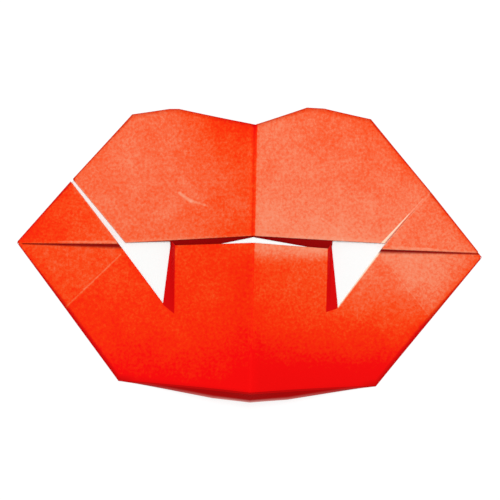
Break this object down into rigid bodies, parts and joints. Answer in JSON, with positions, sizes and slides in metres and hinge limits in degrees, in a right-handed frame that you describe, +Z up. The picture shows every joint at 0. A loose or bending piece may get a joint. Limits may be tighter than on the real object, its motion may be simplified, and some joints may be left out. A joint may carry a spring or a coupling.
{
  "type": "origami vampire mouth",
  "caption": "Pair of red paper lips folded from one square, with white fangs that are the paper's reverse side.",
  "frame": {"origin": "centre of the outline, on the surface that the flat wings rest on", "axes": "+X along the mouth, +Y towards the upper lip, +Z up from the table, out of the front of the lips"},
  "size_m": [0.1498, 0.0944, 0.013],
  "materials": {
    "red_paper": "matte, printed red on the outside and plain white on the reverse"
  },
  "bodies": {
    "root": {"folded_sheet": "red_paper"}
  },
  "joints": []
}
